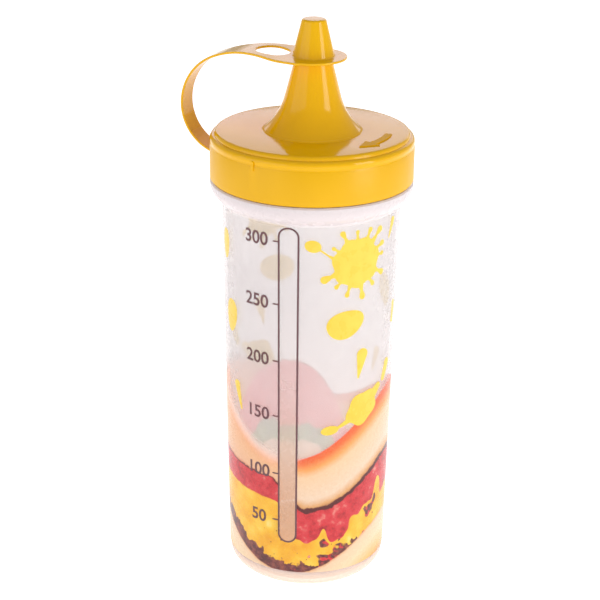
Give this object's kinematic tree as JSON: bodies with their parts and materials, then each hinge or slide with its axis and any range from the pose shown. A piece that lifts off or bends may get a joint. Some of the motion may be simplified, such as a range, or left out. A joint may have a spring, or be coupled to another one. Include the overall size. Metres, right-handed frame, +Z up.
{
  "type": "squeeze sauce bottle",
  "caption": "Squeeze sauce bottle: translucent body with a printed film, screw lid with a conical nozzle, and a tip cap on a flexible strap.",
  "frame": {"origin": "centre of the base, on the plane that the bottle stands on", "axes": "+Z up along the bottle's axis; the cap's strap leaves the lid towards -X; +Y is to the left of someone who looks along +X"},
  "size_m": [0.0814, 0.0692, 0.1991],
  "materials": {
    "frosted_wall": "translucent satin polypropylene",
    "printed_film": "printed film moulded into the wall, semi-gloss, clear where unprinted",
    "yellow_plastic": "glossy moulded polyethylene",
    "seal_foam": "soft white ring"
  },
  "bodies": {
    "bottle": {"bottle_body": "frosted_wall", "label_film": "printed_film"},
    "seal": {"lid_seal": "seal_foam"},
    "lid": {"screw_lid": "yellow_plastic"},
    "strap_low": {"strap_lower": "yellow_plastic"},
    "strap_mid": {"strap_side": "yellow_plastic"},
    "strap_high": {"strap_shoulder": "yellow_plastic"},
    "cap": {"tip_cap": "yellow_plastic"}
  },
  "joints": [
    {"name": "lid_rise", "type": "slide", "parent": "bottle", "child": "seal", "axis": [0, 0, 1], "range_m": [0, 0.01]},
    {"name": "lid_turn", "type": "hinge", "parent": "seal", "child": "lid", "pos_m": [0, 0, 0.15], "axis": [0, 0, 1], "range_deg": [0, 720]},
    {"name": "strap_root_bend", "type": "hinge", "parent": "lid", "child": "strap_low", "pos_m": [-0.03961, 0, 0.15451], "axis": [0, 1, 0], "range_deg": [0, 15]},
    {"name": "strap_side_bend", "type": "hinge", "parent": "strap_low", "child": "strap_mid", "pos_m": [-0.0462, 0, 0.16534], "axis": [0, -1, 0], "range_deg": [0, 22.5]},
    {"name": "strap_shoulder_bend", "type": "hinge", "parent": "strap_mid", "child": "strap_high", "pos_m": [-0.04332, 0, 0.17822], "axis": [0, -1, 0], "range_deg": [0, 60]},
    {"name": "cap_open", "type": "hinge", "parent": "strap_high", "child": "cap", "pos_m": [-0.03271, 0, 0.18614], "axis": [0, -1, 0], "range_deg": [0, 75]}
  ],
  "couplings": [
    {"joint": "lid_rise", "follows": "lid_turn", "m_per_rad": 0.00079577},
    {"joint": "strap_root_bend", "follows": "cap_open", "ratio": 0.2},
    {"joint": "strap_side_bend", "follows": "cap_open", "ratio": 0.3},
    {"joint": "strap_shoulder_bend", "follows": "cap_open", "ratio": 0.8}
  ]
}
